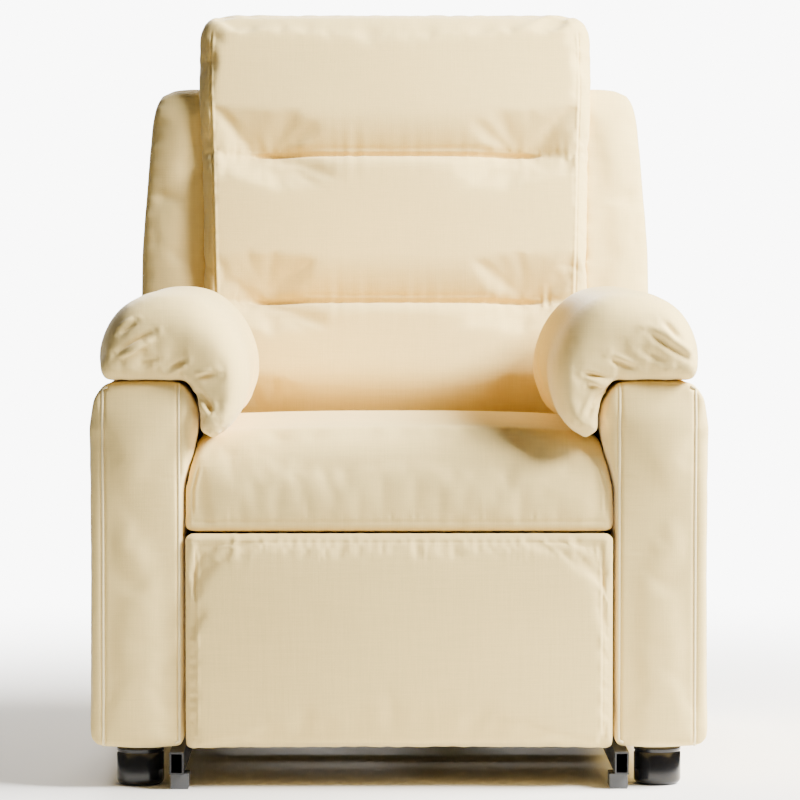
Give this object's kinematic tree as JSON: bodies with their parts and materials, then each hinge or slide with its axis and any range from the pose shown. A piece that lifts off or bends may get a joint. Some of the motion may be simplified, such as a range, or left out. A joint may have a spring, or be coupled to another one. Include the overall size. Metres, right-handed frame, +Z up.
{
  "type": "lift recliner chair",
  "caption": "Upholstered lift recliner with a cushioned back, side wings, rolled arm pads and a folding footrest, on a steel base that raises and tips the whole chair forward.",
  "frame": {"origin": "middle of the chair outline seen from above, on the floor", "axes": "+Z up; the chair faces -Y, so a sitter looks along -Y; +X is on the right of somebody facing the chair"},
  "size_m": [0.824, 0.92, 1.022],
  "materials": {
    "cream_fabric": "matte",
    "dark_liner": "matte",
    "grey_steel": "satin",
    "black_steel": "satin",
    "chrome_rod": "polished",
    "black_plastic": "matte",
    "gloss_black_plastic": "gloss",
    "grey_plastic": "matte",
    "plywood": "satin"
  },
  "bodies": {
    "base": {"base_rail_left": "grey_steel", "base_rail_right": "grey_steel", "mid_cross_tube": "grey_steel", "rear_cross_tube": "grey_steel", "glide_front_left": "grey_plastic", "glide_front_right": "grey_plastic", "glide_rear_left": "grey_plastic", "glide_rear_right": "grey_plastic", "riser_left": "grey_steel", "riser_right": "grey_steel", "lift_motor_bracket": "grey_steel"},
    "upper_lift_links": {"upper_lift_link_left": "grey_steel", "upper_lift_link_right": "grey_steel"},
    "lower_lift_links": {"lower_lift_link_left": "grey_steel", "lower_lift_link_right": "grey_steel", "lift_tie_tube": "grey_steel"},
    "lift_actuator": {"lift_motor": "black_plastic", "lift_actuator_tube": "black_steel"},
    "lift_rod": {"lift_actuator_rod": "chrome_rod"},
    "chair": {"carrier_plate_left": "grey_steel", "carrier_plate_right": "grey_steel", "carrier_tie_tube": "grey_steel", "seat_frame": "black_steel", "seat_springs": "grey_steel", "control_box": "black_plastic", "rear_valance": "dark_liner", "seat_cushion": "cream_fabric", "arm_left": "cream_fabric", "arm_right": "cream_fabric", "arm_pad_left": "cream_fabric", "arm_pad_right": "cream_fabric", "side_pocket_left": "cream_fabric", "side_pocket_right": "cream_fabric", "foot_front_left": "gloss_black_plastic", "foot_front_right": "gloss_black_plastic", "foot_rear_left": "gloss_black_plastic", "foot_rear_right": "gloss_black_plastic"},
    "back": {"back_frame": "black_steel", "lumbar_cushion": "cream_fabric", "middle_cushion": "cream_fabric", "head_cushion": "cream_fabric", "wing_left": "cream_fabric", "wing_right": "cream_fabric", "rear_cover": "cream_fabric"},
    "recline_actuator": {"recline_motor": "black_plastic", "recline_actuator_tube": "black_steel"},
    "recline_rod": {"recline_actuator_rod": "chrome_rod"},
    "footrest_links_a": {"footrest_link_a_left": "grey_steel", "footrest_link_a_right": "grey_steel"},
    "footrest_links_b": {"footrest_link_b_left": "grey_steel", "footrest_link_b_right": "grey_steel"},
    "footrest_links_c": {"footrest_link_c_left": "grey_steel", "footrest_link_c_right": "grey_steel"},
    "footrest_links_d": {"footrest_link_d_left": "grey_steel", "footrest_link_d_right": "grey_steel"},
    "footrest": {"footrest_board": "plywood", "footrest_pad": "cream_fabric"},
    "handset": {"handset_shell": "black_plastic"},
    "up_key": {"up_button": "grey_plastic"},
    "down_key": {"down_button": "grey_plastic"}
  },
  "joints": [
    {"name": "lift", "type": "hinge", "parent": "base", "child": "upper_lift_links", "pos_m": [0, 0.1423, 0.1707], "axis": [-1, 0, 0], "range_deg": [0, 55]},
    {"name": "chair_tilt", "type": "hinge", "parent": "upper_lift_links", "child": "chair", "pos_m": [0, -0.1742, 0.2162], "axis": [1, 0, 0], "range_deg": [0, 85.1]},
    {"name": "lower_link_swing", "type": "hinge", "parent": "base", "child": "lower_lift_links", "pos_m": [0, 0.2781, 0.0808], "axis": [-1, 0, 0], "range_deg": [0, 46.7]},
    {"name": "lift_actuator_swing", "type": "hinge", "parent": "base", "child": "lift_actuator", "pos_m": [0, 0.21, 0.042], "axis": [-1, 0, 0], "range_deg": [0, 34.7]},
    {"name": "lift_rod_swing", "type": "hinge", "parent": "chair", "child": "lift_rod", "pos_m": [0, -0.1588, 0.258], "axis": [-1, 0, 0], "range_deg": [0, 64.7]},
    {"name": "recline", "type": "hinge", "parent": "chair", "child": "back", "pos_m": [0, 0.195, 0.35], "axis": [-1, 0, 0], "range_deg": [0, 45]},
    {"name": "recline_actuator_swing", "type": "hinge", "parent": "chair", "child": "recline_actuator", "pos_m": [0, -0.155, 0.25], "axis": [1, 0, 0], "range_deg": [0, 3.03]},
    {"name": "recline_rod_swing", "type": "hinge", "parent": "back", "child": "recline_rod", "pos_m": [0, 0.207, 0.255], "axis": [1, 0, 0], "range_deg": [0, 48.02]},
    {"name": "footrest_extend", "type": "hinge", "parent": "chair", "child": "footrest_links_a", "pos_m": [0, -0.277, 0.258], "axis": [-1, 0, 0], "range_deg": [0, 90]},
    {"name": "link_b_swing", "type": "hinge", "parent": "chair", "child": "footrest_links_b", "pos_m": [0, -0.326, 0.256], "axis": [-1, 0, 0], "range_deg": [0, 90.1]},
    {"name": "link_c_swing", "type": "hinge", "parent": "footrest_links_a", "child": "footrest_links_c", "pos_m": [0, -0.212, 0.087], "axis": [1, 0, 0], "range_deg": [0, 90.1]},
    {"name": "link_d_swing", "type": "hinge", "parent": "footrest_links_b", "child": "footrest_links_d", "pos_m": [0, -0.286, 0.117], "axis": [1, 0, 0], "range_deg": [0, 90.1]},
    {"name": "footrest_tilt", "type": "hinge", "parent": "footrest_links_c", "child": "footrest", "pos_m": [0, -0.355, 0.222], "axis": [-1, 0, 0], "range_deg": [0, 90.1]},
    {"name": "handset_lift", "type": "slide", "parent": "chair", "child": "handset", "axis": [0, 0, 1], "range_m": [0, 0.11]},
    {"name": "up_button_press", "type": "slide", "parent": "handset", "child": "up_key", "axis": [-1, 0, 0], "range_m": [0, 0.0012], "stiffness_N_per_m": 400, "springref_m": -0.001},
    {"name": "down_button_press", "type": "slide", "parent": "handset", "child": "down_key", "axis": [-1, 0, 0], "range_m": [0, 0.0012], "stiffness_N_per_m": 400, "springref_m": -0.001}
  ],
  "couplings": [
    {"joint": "chair_tilt", "follows": "lift", "ratio": 1.5455},
    {"joint": "lower_link_swing", "follows": "lift", "ratio": 0.847},
    {"joint": "lift_actuator_swing", "follows": "lift", "ratio": 0.629},
    {"joint": "lift_rod_swing", "follows": "lift", "ratio": 1.1745},
    {"joint": "recline_actuator_swing", "follows": "recline", "ratio": 0.065},
    {"joint": "recline_rod_swing", "follows": "recline", "ratio": 1.065},
    {"joint": "link_b_swing", "follows": "footrest_extend", "ratio": 1},
    {"joint": "link_c_swing", "follows": "footrest_extend", "ratio": 1},
    {"joint": "link_d_swing", "follows": "footrest_extend", "ratio": 1},
    {"joint": "footrest_tilt", "follows": "footrest_extend", "ratio": 1}
  ]
}
